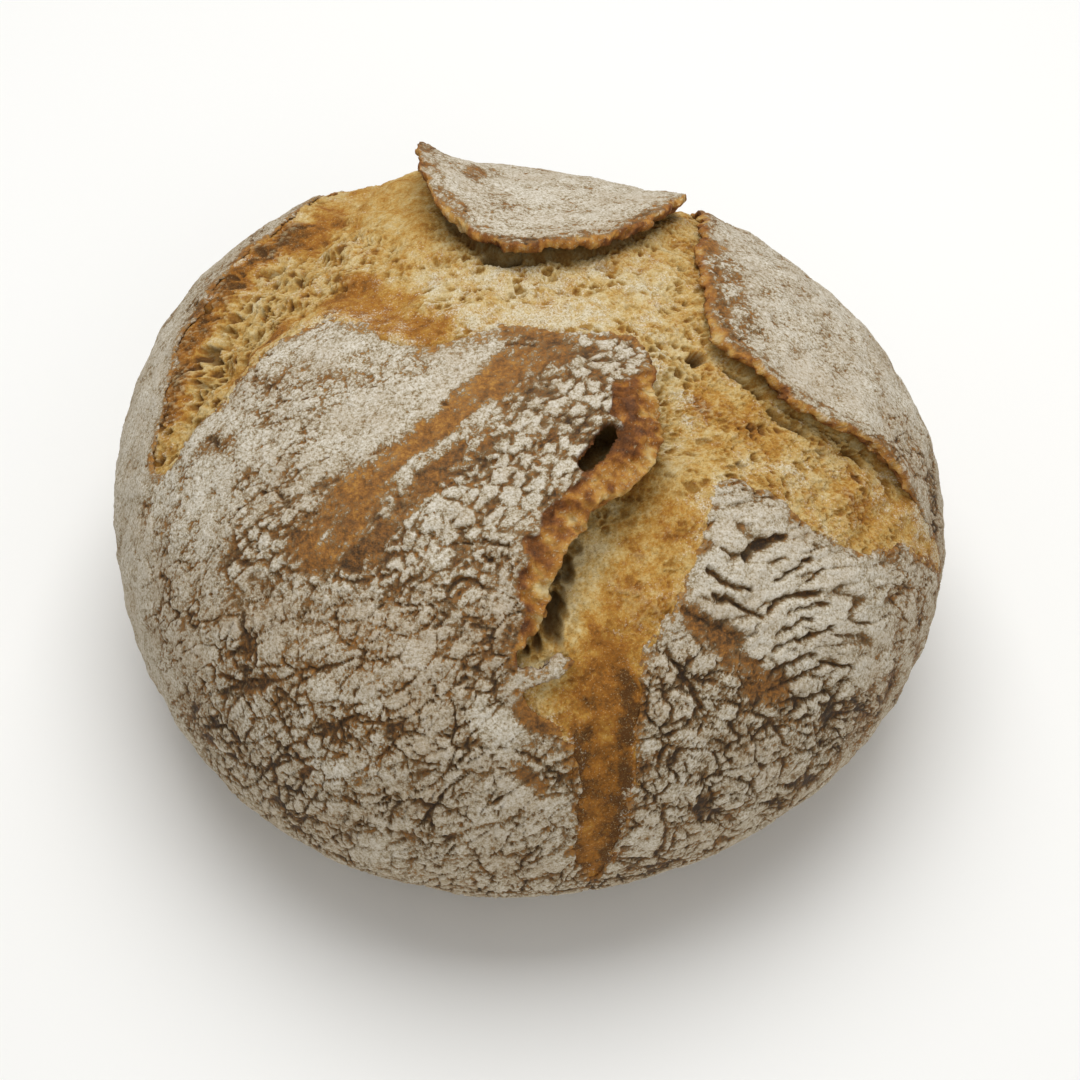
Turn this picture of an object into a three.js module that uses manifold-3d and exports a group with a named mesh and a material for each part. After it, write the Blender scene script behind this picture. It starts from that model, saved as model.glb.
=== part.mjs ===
// A round crusty loaf: a hand-shaped hearth bread, scored crosswise before baking, whose crust
// has torn open along the cuts and lifted into ears over the open crumb. It is one solid.
// Units are millimetres, +Z is up, and the loaf stands on the plane z = 0 with the middle of
// its box at x = 0, y = 0. The longest ear faces -Y.
//
// The form is built about the loaf's heart, a point inside it at the height of its girth.
// A direction from the heart is written as two angles in degrees on a flat chart of the crust:
// the crown is (0, 0), +u leads down the +X side, +v down the +Y side, and the distance from
// (0, 0) is the angle from straight up.

import * as THREE from 'three'
import { mergeVertices } from 'three/addons/utils/BufferGeometryUtils.js'
import Module from 'manifold-3d'

const wasm = await Module()
wasm.setup()

// ---------------------------------------------------------------- driving dimensions

const GIRTH_RADIUS = 100          // mean radius of the loaf seen from above
const GIRTH_OVAL = [0.005, -0.027]      // two waves round the girth, share of the radius (cos, sin)
const GIRTH_TRIANGLE = [0.021, 0.008]   // three waves round the girth
const HEART_HEIGHT = 40           // height of the heart and of the widest girth
const CROWN_RISE = 66.9           // crown above the heart
const CROWN_FULLNESS = 2.15       // exponent of the upper half, 2 is an ellipse
const BELLY_DROP = 47             // reach of the lower half below the heart before it is cut flat
const BELLY_FULLNESS = 2.6        // exponent of the lower half

const CRUST_THICKNESS = 2.6       // thickness of the torn crust at its edge
const CAVE_DEPTH = 17             // how far below the crust the cavities under the ears may reach
const EAR_WIDTH = 30              // how far from its edge a lifted ear starts to rise
const CRUST_LUMPS = { height: 0.8, spacing: 23 }    // soft unevenness of the floured crust
const CRUMB_LUMPS = { height: 1.5, spacing: 15 }    // torn crumb inside the opening
const TROUGH_WIDTH = 11           // how far from its edge the crumb reaches its full hollow
const CORE_RADIUS = 25            // least radius of the crumb's ball, deep inside the crust

const CRUST_DETAIL = 14           // subdivision of the crust's ball
const CRUMB_DETAIL = 18           // subdivision of the crumb's ball
const CROWN_CROWDING = 0.3        // share by which the crust's facets draw together at the crown
const STEPS_PER_POINT = 3         // outline steps from one chosen point to the next
const BEYOND = 1.3                // how many crust radii the opening's cutter reaches outwards
const ABOVE = 300                 // and how far up it goes from there, to close above the crown

const CRUST = { color: 0xc9c1b0, roughness: 0.92, metalness: 0 }

// The opening's edge, counter-clockwise on the chart, one entry for each stretch of torn crust.
// rise: how far the edge has lifted. cave: how far the crumb has drawn back under it.
// depth: how far the crumb lies below the crust at the edge. trough: how much more in mid-gap.
const EDGES = [
  { stretch: 'front cut, side of the right petal', rise: 0.3, cave: 0.4, depth: 1.2, trough: 0.4,
    points: [[16, -93], [19.5, -84], [19.7, -75], [19.8, -67]] },
  { stretch: 'front gap, side of the right petal', rise: 0.8, cave: 0.4, depth: 1.4, trough: 1.5,
    points: [[20.5, -59.6], [23.5, -54.7], [27.8, -48.6], [29.6, -43.9], [31.8, -37.6], [34, -31.8]] },
  { stretch: 'right gap, side of the right petal', rise: 1.2, cave: 0.4, depth: 3, trough: 1,
    points: [[37.8, -30], [42.6, -30.7], [47.4, -32.6], [54.2, -33.5], [60.1, -32.3]] },
  { stretch: 'end of the right gap', rise: 0.5, cave: 0.4, depth: 1.6, trough: 0.5,
    points: [[66.5, -27.6], [75.5, -24.3], [83, -21], [78.4, -19.3], [70.1, -17.5]] },
  { stretch: 'right flap, front edge', rise: 4.2, cave: 4.5, depth: 5.5, trough: 0,
    points: [[64.9, -15.6], [59.6, -13.2], [53.6, -13.4], [46.4, -11.3], [40.3, -6.4], [35.4, -2.3]] },
  { stretch: 'right flap, left edge', rise: 4.2, cave: 4.5, depth: 6, trough: 0,
    points: [[34.8, 6.8], [34, 19.6], [34.8, 31], [35.3, 40.6]] },
  { stretch: 'back gap', rise: 2, cave: 1, depth: 4.5, trough: 1,
    points: [[36.5, 50], [36.5, 60], [33, 66], [30.5, 58], [29.6, 50]] },
  { stretch: 'top flap, front edge', rise: 6, cave: 5.5, depth: 2.4, trough: 0.8,
    points: [[29.7, 42.4], [25.1, 28.9], [16.7, 20.6], [6.2, 16.9], [-2.5, 16.6], [-10.2, 22]] },
  { stretch: 'top flap, raised tip', rise: 10, cave: 5, depth: 2.2, trough: 1.5,
    points: [[-14.9, 30.8], [-17.1, 40.8], [-17.5, 50]] },
  { stretch: 'back end of the left gap', rise: 2.5, cave: 1, depth: 3, trough: 3,
    points: [[-19.5, 60], [-24, 69], [-32, 65]] },
  { stretch: 'left gap, outer edge', rise: 0.6, cave: 0.4, depth: 1.4, trough: 5,
    points: [[-35.5, 53], [-38.7, 40.8], [-45.6, 30.8], [-52.7, 19.7], [-58.1, 10], [-61.2, -0.3],
      [-62.8, -7.4]] },
  { stretch: 'left gap, lower end', rise: 0.5, cave: 0.4, depth: 1.8, trough: 1.5,
    points: [[-65.4, -13.4], [-61.5, -15], [-55.4, -10]] },
  { stretch: 'left gap, side of the left petal', rise: 1, cave: 0.4, depth: 1.6, trough: 5,
    points: [[-49.5, -5], [-45.5, -0.4], [-39.6, 3.8], [-35.3, 5.7], [-30.9, 2.7]] },
  { stretch: 'ridge along the left petal', rise: 0.2, cave: 0.3, depth: 0.4, trough: 0.6,
    points: [[-23.5, -3.5], [-16.2, -5.9], [-10.8, -3.9], [-1.3, -1.5], [8.1, -2.7], [17.4, -3.3]] },
  { stretch: 'corner of the left petal', rise: 1.6, cave: 0.6, depth: 2.4, trough: 0.5,
    points: [[22.6, -5], [24.6, -10], [24.6, -17.6]] },
  { stretch: 'long front ear', rise: 6.2, cave: 6, depth: 6.5, trough: 0,
    points: [[24.3, -25.6], [21.8, -30.8], [18.2, -34.5], [12.8, -38.9], [7.6, -45.4], [4, -50.6],
      [2, -56.5], [1.2, -62]] },
  { stretch: 'front cut, side of the left petal', rise: 0.6, cave: 0.4, depth: 1.3, trough: 0.4,
    points: [[4.6, -66.5], [9.2, -70], [10.6, -78], [11.7, -88.6]] },
]

// Holes torn in the crumb: place on the chart, half sizes across and inwards.
const PORES = [
  { at: [15.9, -29.2], radius: 5, inwards: 9 },     // tunnel under the bridge of the long ear
  { at: [7.3, -54.4], radius: 3.6, inwards: 8 },    // cavity deep under the long ear
  { at: [-56.6, 8.2], radius: 3.2, inwards: 5 },    // large pore in the left gap
  { at: [35.6, -4.2], radius: 2.8, inwards: 8 },    // hole at the corner of the right flap
  { at: [-65.8, -12.4], radius: 2.2, inwards: 4 },  // small hole at the left gap's lower end
]

const DEGREE = Math.PI / 180
const ARC_MM = 1.6                // mean millimetres of crust to a degree of the chart

// ---------------------------------------------------------------- the form of the loaf

/** Direction from the heart for a place on the chart. */
function direction(u, v) {
  const angle = Math.hypot(u, v)
  const turn = Math.atan2(v, u)
  const sine = Math.sin(angle * DEGREE)
  return new THREE.Vector3(sine * Math.cos(turn), sine * Math.sin(turn), Math.cos(angle * DEGREE))
}

/** Place on the chart for a direction from the heart. */
function chart(way) {
  const angle = Math.acos(THREE.MathUtils.clamp(way.z, -1, 1)) / DEGREE
  const turn = Math.atan2(way.y, way.x)
  return [angle * Math.cos(turn), angle * Math.sin(turn)]
}

/** Distance from the heart to the resting crust: a superellipse turned round an uneven girth. */
function restingRadius(way) {
  const turn = Math.atan2(way.y, way.x)
  const girth = GIRTH_RADIUS * (1
    + GIRTH_OVAL[0] * Math.cos(2 * turn) + GIRTH_OVAL[1] * Math.sin(2 * turn)
    + GIRTH_TRIANGLE[0] * Math.cos(3 * turn) + GIRTH_TRIANGLE[1] * Math.sin(3 * turn))
  const [reach, power] = way.z >= 0 ? [CROWN_RISE, CROWN_FULLNESS] : [BELLY_DROP, BELLY_FULLNESS]
  const across = (Math.hypot(way.x, way.y) / girth) ** power
  const along = (Math.abs(way.z) / reach) ** power
  return (across + along) ** (-1 / power)
}

/** Point of the loaf at a distance from the heart along a direction. */
function place(way, distance) {
  const point = way.clone().multiplyScalar(distance)
  point.z += HEART_HEIGHT
  return point
}

/** Soft lumps: a sum of three sine products at unlike angles, from -1 to 1. */
function lumps(point, spacing) {
  const k = 2 * Math.PI / spacing
  const { x, y, z } = point
  return (Math.sin(k * (x + 0.31 * y)) * Math.sin(k * (y - 0.23 * z) + 1.3)
    + Math.sin(k * 0.73 * (z + 0.4 * x) + 2.1) * Math.sin(k * 0.81 * (x - 0.5 * y))
    + Math.sin(k * 1.37 * (y + 0.6 * z) + 0.7) * Math.sin(k * 1.21 * (z - 0.7 * x) + 4)) / 3
}

// ---------------------------------------------------------------- the opening's outline

/** The outline as closely spaced samples that carry the values of their stretch. */
function sampleOutline() {
  const chosen = EDGES.flatMap(edge => edge.points.map(([u, v]) => ({ ...edge, u, v })))
  const spline = new THREE.CatmullRomCurve3(
    chosen.map(({ u, v }) => new THREE.Vector3(u, v, 0)), true, 'centripetal')
  const count = chosen.length * STEPS_PER_POINT
  const samples = Array.from({ length: count }, (_, i) => {
    const from = chosen[Math.floor(i / STEPS_PER_POINT)]
    const to = chosen[Math.ceil((i + 1) / STEPS_PER_POINT) % chosen.length]
    const share = (i % STEPS_PER_POINT) / STEPS_PER_POINT
    const value = name => THREE.MathUtils.lerp(from[name], to[name], share)
    const at = spline.getPoint(i / count)
    return { u: at.x, v: at.y, ...Object.fromEntries(
      ['rise', 'cave', 'depth', 'trough'].map(name => [name, value(name)])) }
  })
  samples.forEach((sample, i) => {
    const before = samples[(i + count - 1) % count]
    const after = samples[(i + 1) % count]
    const along = new THREE.Vector2(after.u - before.u, after.v - before.v).normalize()
    sample.outwards = [along.y, -along.x]
  })
  return samples
}

const outline = sampleOutline()

/** True where a place on the chart lies inside the opening, by counting crossed edges. */
function insideOpening(u, v) {
  let inside = false
  outline.forEach((a, i) => {
    const b = outline[(i + 1) % outline.length]
    if (a.v > v !== b.v > v && u < a.u + (v - a.v) / (b.v - a.v) * (b.u - a.u)) inside = !inside
  })
  return inside
}

/** Values of the outline at a place, weighted by closeness, and the distance to it in mm. */
function nearOutline(u, v) {
  const sum = { rise: 0, depth: 0, trough: 0, weight: 0 }
  let nearest = Infinity
  for (const sample of outline) {
    const squared = (sample.u - u) ** 2 + (sample.v - v) ** 2
    const weight = 1 / (squared + 1) ** 2
    nearest = Math.min(nearest, squared)
    sum.rise += sample.rise * weight
    sum.depth += sample.depth * weight
    sum.trough += sample.trough * weight
    sum.weight += weight
  }
  return {
    rise: sum.rise / sum.weight,
    depth: sum.depth / sum.weight,
    trough: sum.trough / sum.weight,
    distance: Math.sqrt(nearest) * ARC_MM,
  }
}

/** Distance from the heart to the crust, with its ears lifted and its soft lumps. */
function crustRadius(way) {
  const resting = restingRadius(way)
  const near = nearOutline(...chart(way))
  const ear = Math.max(0, 1 - near.distance / EAR_WIDTH) ** 2
  const lump = lumps(way.clone().multiplyScalar(resting), CRUST_LUMPS.spacing)
  return resting + near.rise * ear + lump * CRUST_LUMPS.height
}

/** Distance from the heart to the torn crumb, which falls away under the crust round it. */
function crumbRadius(way) {
  const resting = restingRadius(way)
  const [u, v] = chart(way)
  const near = nearOutline(u, v)
  const inside = insideOpening(u, v)
  const hollow = inside ? near.trough * Math.min(1, near.distance / TROUGH_WIDTH) : 0
  const fall = inside ? 0 : near.distance * 0.6
  const calm = inside ? Math.min(1, 0.35 + near.distance / TROUGH_WIDTH) : 0
  const lump = lumps(way.clone().multiplyScalar(resting), CRUMB_LUMPS.spacing) * calm
  return Math.max(CORE_RADIUS, resting - near.depth - hollow - fall + lump * CRUMB_LUMPS.height)
}

// ---------------------------------------------------------------- solids

/** A closed geometry as a solid for cutting and joining. */
function solid(geometry) {
  return new wasm.Manifold(new wasm.Mesh({
    numProp: 3,
    vertProperties: new Float32Array(geometry.attributes.position.array),
    triVerts: new Uint32Array(geometry.index.array),
  }))
}

/** A geometry with only its positions, shared between its faces. */
function welded(geometry) {
  geometry.deleteAttribute('normal')
  geometry.deleteAttribute('uv')
  return mergeVertices(geometry)
}

/** Moves every vertex of a geometry to where a function puts it. */
function moved(geometry, move) {
  const position = geometry.attributes.position
  const point = new THREE.Vector3()
  for (let i = 0; i < position.count; i += 1) {
    point.fromBufferAttribute(position, i)
    const to = move(point)
    position.setXYZ(i, to.x, to.y, to.z)
  }
  return geometry
}

/** A ball about the heart whose surface lies at radius(direction). */
function ball(detail, radius) {
  const round = welded(new THREE.IcosahedronGeometry(1, detail))
  return moved(round, point => {
    const angle = Math.acos(THREE.MathUtils.clamp(point.clone().normalize().z, -1, 1))
    const turn = Math.atan2(point.y, point.x)
    const crowded = (angle - CROWN_CROWDING * Math.sin(angle)) / DEGREE
    const way = direction(crowded * Math.cos(turn), crowded * Math.sin(turn))
    return place(way, radius(way))
  })
}

/** The outline carried outwards through the crust, wider below it where an ear overhangs. */
function openingCutter() {
  const shape = new THREE.Shape(outline.map(sample => new THREE.Vector2(sample.u, sample.v)))
  const block = new THREE.ExtrudeGeometry(shape, { depth: 4, steps: 4, bevelEnabled: false })
  return moved(welded(block), point => {
    const sample = outline.reduce((best, other) =>
      Math.hypot(other.u - point.x, other.v - point.y)
        < Math.hypot(best.u - point.x, best.v - point.y) ? other : best)
    const layer = Math.round(point.z)
    const under = layer < 2 ? sample.cave / ARC_MM : 0
    const way = direction(sample.u + sample.outwards[0] * under, sample.v + sample.outwards[1] * under)
    const resting = restingRadius(way)
    const roof = crustRadius(way) - CRUST_THICKNESS
    const beyond = resting * BEYOND
    const at = place(way, [resting - CAVE_DEPTH, roof, roof + 0.4, beyond, beyond][layer])
    at.z += layer === 4 ? ABOVE : 0
    return at
  })
}

/** A pore: a ball squeezed to its half sizes and sunk into the crumb. */
function pore({ at, radius, inwards }) {
  const way = direction(...at)
  const round = welded(new THREE.IcosahedronGeometry(1, 1))
  const turn = new THREE.Quaternion().setFromUnitVectors(new THREE.Vector3(0, 0, 1), way)
  const middle = place(way, crumbRadius(way) - inwards * 0.35)
  return moved(round, point => new THREE.Vector3(
    point.x * radius, point.y * radius, point.z * inwards).applyQuaternion(turn).add(middle))
}

/** Everything below the plane that the loaf stands on. */
function belowTable() {
  const size = 3 * GIRTH_RADIUS
  const box = new THREE.BoxGeometry(size, size, size)
  box.translate(0, 0, -size / 2)
  return welded(box)
}

/** The whole loaf as one solid: crust, opened along the cuts, joined with the crumb inside it. */
function loafSolid() {
  const crust = solid(ball(CRUST_DETAIL, crustRadius)).subtract(solid(openingCutter()))
  const crumb = solid(ball(CRUMB_DETAIL, crumbRadius))
  const holed = PORES.reduce((body, hole) => body.subtract(solid(pore(hole))), crust.add(crumb))
  return holed.subtract(solid(belowTable()))
}

/** A solid's faces as a geometry whose box is centred over the origin. */
function geometryOf(body) {
  const mesh = body.getMesh()
  const geometry = new THREE.BufferGeometry()
  geometry.setAttribute('position', new THREE.BufferAttribute(mesh.vertProperties, 3))
  geometry.setIndex(new THREE.BufferAttribute(mesh.triVerts, 1))
  geometry.computeBoundingBox()
  const middle = geometry.boundingBox.getCenter(new THREE.Vector3())
  geometry.translate(-middle.x, -middle.y, -geometry.boundingBox.min.z)
  geometry.computeVertexNormals()
  return geometry
}

const group = new THREE.Group()
const loaf = new THREE.Mesh(geometryOf(loafSolid()), new THREE.MeshStandardMaterial(CRUST))
loaf.name = 'loaf'
group.add(loaf)

export default group
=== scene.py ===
"""A round crusty loaf: a floured hearth bread, cut crosswise and torn open into ears over its crumb.

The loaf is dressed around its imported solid. Shapes are worked out in millimetres about the loaf's
heart, as whole arrays of three rows (x, y, z), and go into the meshes in metres. A place on the
crust is written on a chart, in degrees: the crown is (0, 0), +u leads down the +X side, +v down
the +Y side, and the distance from (0, 0) is the angle from straight up.
"""

from itertools import product

import bpy
import numpy as np
from mathutils import Matrix, Vector


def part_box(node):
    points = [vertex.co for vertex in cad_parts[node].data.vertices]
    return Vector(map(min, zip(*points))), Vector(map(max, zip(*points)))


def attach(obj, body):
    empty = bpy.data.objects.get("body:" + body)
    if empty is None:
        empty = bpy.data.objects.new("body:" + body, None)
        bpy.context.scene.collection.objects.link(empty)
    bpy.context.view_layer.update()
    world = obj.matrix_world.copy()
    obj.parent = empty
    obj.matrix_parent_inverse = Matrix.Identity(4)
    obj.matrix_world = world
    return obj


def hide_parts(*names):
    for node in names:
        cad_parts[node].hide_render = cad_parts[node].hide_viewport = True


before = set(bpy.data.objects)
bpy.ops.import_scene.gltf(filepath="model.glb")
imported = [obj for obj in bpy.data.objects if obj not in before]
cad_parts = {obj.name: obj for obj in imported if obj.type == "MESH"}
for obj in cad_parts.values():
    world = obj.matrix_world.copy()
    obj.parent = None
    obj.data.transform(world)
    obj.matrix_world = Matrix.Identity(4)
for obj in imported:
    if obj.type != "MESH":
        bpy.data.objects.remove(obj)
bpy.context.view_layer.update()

MM = 0.001

# ------------------------------------------------------------------ the loaf's main sizes, in mm

GIRTH_RADIUS = 100
GIRTH_OVAL = (0.005, -0.027)       # two waves round the girth, share of the radius (cos, sin)
GIRTH_TRIANGLE = (0.021, 0.008)    # three waves round the girth
HEART_HEIGHT = 40
CROWN_RISE = 66.9
CROWN_FULLNESS = 2.15
BELLY_DROP = 47
BELLY_FULLNESS = 2.6
EAR_WIDTH = 30                     # how far from its edge a lifted ear starts to rise
TROUGH_WIDTH = 11                  # how far from its edge the crumb reaches its full hollow
CRUST_LUMPS = (0.8, 23)            # height and spacing of the crust's soft unevenness
CRUMB_LUMPS = (1.5, 15)
TUCK = 3                           # how far the crust's underside runs on past its cave
CRUMB_MARGIN = 10                  # how far the crumb runs on below the crust
RIM_SLOPE = 0.45                   # how steeply the torn rim falls towards the edge

ISLAND_SIZE = 3.2                  # mm across, as are the sizes below: islands of flour
RIDGE_SPACING = 5
PLATE_SIZE = 6.5
SMALL_PLATE_SIZE = 3
CLOD_SIZE = 1.9
PORE_SIZE = 2.3
PIT_SIZE = 1.2

CRUST_COUNT = 700                  # grid places along one side of the crust's sheet
CRUMB_COUNT = 760                  # and of the crumb's sheet
CRUST_REACH = 152                  # degrees from the crown at which the crust's sheet ends
CRUMB_REACH = 100
CRUMB_LAP = 9.5                    # degrees past the opening up to which crumb is worked out
SOLE_ANGLE = 118                   # degrees from the crown past which the grid may be coarse
SOLE_SHARE = 0.15                  # and the share of cells that it keeps there
WIDEST_CELL = 3                    # mm: a wider cell above the sole was pulled apart and goes
PIECE_FACES = 92000                # four-sided faces in a piece at most
BLOCK = 20000                      # places compared with the whole edge at a time, to save memory

FRONT_CUT = 15                     # chart place u that parts the left side's patterns from the right's
LEFT_STRETCH = ((-20, -28), (4, -13))      # chart places between which the dough was drawn out
BAND_STREAKS = ((-22, -30), (2, -10))
FRONT_FIBRES = ((2, -50), (26, -42))
LONGEST_SLIT = 22                  # degrees that a marked crack can reach from its first place
LONGEST_POCKET = 12

FLOOR_REACH = 3.0                  # metres from the middle of the floor to its sides
LIGHT_SIZE = 0.8                   # metres
EYE_ELEVATION = 50                 # degrees above the table
EYE_TARGET = (3.2, 0.4, 30.4)      # mm
EYE_DISTANCE = 560                 # mm
EYE_LENS = 75.05                   # mm, for a picture 36 mm wide

# The opening's edge, counter-clockwise on the chart: each stretch of torn crust with its eight sizes,
# in the order below, and its places.
# rise: how far the edge has lifted. cave: how far the crumb has drawn back under it.
# depth: how far the crumb lies below the crust at the edge. trough: how much more in mid-gap.
# rim: width of the torn slope above the edge. face: height of the torn face below it.
# belly: how far that face stands out. torn: how ragged and toasted the edge is, from 0 to 1.
STRETCHES = [
    ("front cut, side of the right petal", (0.1, 0.3, 0.1, 1, 0, 0.7, 0, 0.1),
     [(16, -93), (19.5, -84), (19.7, -75), (19.8, -67)]),
    ("front gap, side of the right petal", (0.2, 0.3, -0.3, 2.6, 0, 1.2, 0.4, 0.15),
     [(20.5, -59.6), (23.5, -54.7), (27.8, -48.6), (29.6, -43.9), (31.8, -37.6), (34, -31.8)]),
    ("right gap, side of the right petal", (0.3, 0.3, -0.3, 2.6, 0, 1.4, 0.5, 0.2),
     [(37.8, -30), (42.6, -30.7), (47.4, -32.6), (54.2, -33.5), (60.1, -32.3)]),
    ("end of the right gap", (0.2, 0.3, -0.2, 1.2, 0, 1, 0.3, 0.2),
     [(66.5, -27.6), (75.5, -24.3), (83, -21), (78.4, -19.3), (70.1, -17.5)]),
    ("right flap, front edge", (3.2, 2.2, 2.6, -0.5, 0.5, 2.2, 0.5, 1),
     [(64.9, -15.6), (59.6, -13.2), (53.6, -13.4), (46.4, -11.3), (40.3, -6.4), (35.4, -2.3)]),
    ("right flap, left edge", (1.8, 1, 1.4, 0.5, 0.5, 1.8, 0.7, 0.8),
     [(34.8, 6.8), (34, 19.6), (34.8, 31), (35.3, 40.6)]),
    ("back gap", (1, 1, 2, 1, 0.3, 1.6, 0.5, 0.6),
     [(36.5, 50), (36.5, 60), (33, 66), (30.5, 58), (29.6, 50)]),
    ("top flap, front edge", (5.4, 4, 1.4, 0.4, 0.6, 2.1, 0.3, 1),
     [(29.7, 42.4), (25.1, 28.9), (16.7, 20.6), (6.2, 16.9), (-2.5, 16.6), (-10.2, 22)]),
    ("top flap, raised tip", (10, 5, 2, 0.6, 0.5, 2, 0.2, 1),
     [(-14.9, 30.8), (-17.1, 40.8), (-17.5, 50)]),
    ("back end of the left gap", (0, 0.3, -0.3, 2, 0, 1, 0.3, 0),
     [(-19.5, 60), (-24, 69), (-32, 65)]),
    ("left gap, outer edge", (0.3, 0.3, 0.1, 6, 0, 0.5, 0, 0.05),
     [(-37.5, 54.5), (-42, 43.5), (-50, 34), (-57, 22.5), (-62, 12), (-64, 0.5), (-64.8, -7)]),
    ("left gap, lower end", (0.2, 0.3, 0.6, 2.5, 0, 0.8, 0.1, 0.2),
     [(-66.2, -13.4), (-61.5, -15), (-55.4, -10)]),
    ("left gap, side of the left petal", (0.2, 0.3, -0.2, 5, 0, 0.5, 0, 0.1),
     [(-49.5, -5), (-45.5, -0.4), (-39.6, 3.8), (-35.3, 5.7), (-30.9, 2.7)]),
    ("ridge along the left petal", (0, 0.3, -0.5, 0.4, 0, 0.8, 0.3, 0),
     [(-23.5, -3.5), (-16.2, -5.9), (-10.8, -3.9), (-1.3, -1.5), (8.1, -2.7), (17.4, -3.3)]),
    ("corner of the left petal", (0.6, 0.5, 0.4, 1, 0.3, 1.4, 0.6, 0.3),
     [(22.6, -5), (24.6, -10)]),
    ("upper end of the long ear", (3.4, 1, 4, 0, 6.5, 2.4, 0.4, 0.9),
     [(24.9, -17.6), (25, -24.6)]),
    ("long front ear", (6.2, 6, 6.2, -0.5, 6, 2.8, 0.2, 1),
     [(23.2, -30.4), (19.2, -34.8), (13.8, -38.6), (8.6, -44.6), (5.4, -49.6), (4.2, -54.6)]),
    ("lower end of the long ear", (3, 3, 4, 0, 0.6, 2.6, 0.4, 0.7),
     [(1.8, -57.6), (-0.6, -60.3)]),
    ("shred of crust across the front cut", (0.8, 0.3, 1.2, 0, 0, 0.8, 0.4, 0.3),
     [(0.4, -62), (3.8, -61.4), (7.4, -60.1), (9, -60.4), (7.7, -61.8), (4.1, -63.2),
      (1.2, -64.3), (1.8, -66.2)]),
    ("front cut, side of the left petal", (0.2, 0.3, 0.1, 1, 0, 0.7, 0, 0.1),
     [(5.2, -67.8), (9.6, -71.5), (10.6, -78), (11.7, -88.6)]),
]
RISE, CAVE, DEPTH, TROUGH, RIM, FACE, BELLY, TORN = range(8)

# The hole in the long ear's upper end: its middle line on the chart and half its width in degrees.
TUNNEL = [(12.2, -31.9), (14, -29.6), (16.4, -26)]
TUNNEL_HALF = 1.25

# Pores, holes and pockets in the crumb: half width in degrees, depth in mm, painted shade in them from 0 to
# 1, middle line.
POCKETS = [
    (1.5, 1.4, 0.2, [(-16, 19), (-12, 21)]),
    (1, 1.2, 0.25, [(-8.8, 16.6)]),
    (0.7, 0.8, 0.3, [(0.2, 10.5)]),
    (1.2, 1.2, 0.3, [(7.2, 14.7)]),
    (1, 1, 0.2, [(9.1, 10.8), (10.4, 7.9)]),
    (1.4, 1.6, 0.25, [(16.7, 18.2), (19.2, 16.9)]),
    (1.2, 3, 0.9, [(-6.3, 20.1), (-2.4, 18), (0.1, 18.6)]),
    (0.6, 0.8, 0.6, [(1.5, -4.2), (5.3, -3.2)]),
    (1.4, 2.4, 0.8, [(-58.5, 11), (-58, 7.5)]),
    (0.9, 1.8, 0.6, [(-50.4, 18.1)]),
    (0.9, 1.5, 0.6, [(-50.3, 15)]),
    (1.4, 2, 0.5, [(-51.4, 11.4)]),
    (1.3, 2.2, 0.6, [(-48.7, 28.8), (-46.3, 29.3)]),
    (1, 1.6, 0.6, [(-57.8, 20.8)]),
    (0.9, 1.4, 0.5, [(-54.1, 17.8)]),
    (1.1, 2, 0.6, [(-60, 2.2)]),
    (1.1, 1.4, 0.4, [(-52.3, 3.9)]),
    (1.1, 1.6, 0.5, [(-56.1, 15.5)]),
    (1, 1.5, 0.5, [(-42.7, 26.7)]),
    (0.7, 1, 0.5, [(-46, 19.9)]),
    (0.8, 1.5, 0.7, [(-34.1, 16.1)]),
    (1, 3, 1, [(-65.6, -11.9)]),
    (0.8, 2, 0.9, [(-64, -6.5)]),
    (0.9, 3, 1, [(32.1, 21.2)]),
    (0.8, 2.5, 1, [(32.6, 10.6)]),
    (1.6, 5, 1, [(34.1, -4.4)]),
    (0.9, 3, 0.9, [(39.1, -6.3), (41.9, -8.2), (44.4, -10.4)]),
    (1.1, 2, 0.7, [(46.4, -12.8), (48.9, -14.5), (51, -15)]),
    (0.8, 2, 0.8, [(56.7, -13.5)]),
    (1.1, 2.5, 0.8, [(59, -14.5), (60.7, -15.5)]),
    (1, 1.5, 0.5, [(53.5, -18)]),
    (1, 1.6, 0.4, [(39.1, -26.4)]),
    (0.7, 1, 0.4, [(34.2, -23)]),
    (1.1, 1.6, 0.5, [(25.5, -15)]),
    (1.2, 1.8, 0.5, [(26.3, -22)]),
    (1, 1.5, 0.4, [(26.6, -27.2)]),
    (1.8, 4.5, 1, [(7, -54.3)]),
    (2, 5, 1, [(6.6, -55.6), (6.4, -57.2)]),
    (1.6, 3.5, 0.9, [(7.2, -51)]),
    (1.7, 3.5, 0.8, [(9, -48), (9, -49.9)]),
    (1.3, 1.6, 0.5, [(11, -45.6)]),
    (0.9, 2.5, 1, [(1.6, -60)]),
    (1, 2, 0.9, [(3.4, -58.8)]),
    (1, 1.2, 0.5, [(8.4, -52.7)]),
]

# ------------------------------------------------------------------ the form of the loaf


def smooth(low, high, x):
    """An even S from 0 at low to 1 at high, 3t² − 2t³, and flat beyond; low may be the larger."""
    t = np.clip((x - low) / (high - low), 0, 1)
    return t * t * (3 - 2 * t)


def direction(u, v):
    """Unit vectors from the heart for places on the chart."""
    angle = np.radians(np.hypot(u, v))
    turn = np.arctan2(v, u)
    return np.stack([np.sin(angle) * np.cos(turn), np.sin(angle) * np.sin(turn), np.cos(angle)])


def chart(way):
    """Places on the chart for unit vectors from the heart."""
    angle = np.degrees(np.arccos(np.clip(way[2], -1, 1)))
    turn = np.arctan2(way[1], way[0])
    return angle * np.cos(turn), angle * np.sin(turn)


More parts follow.
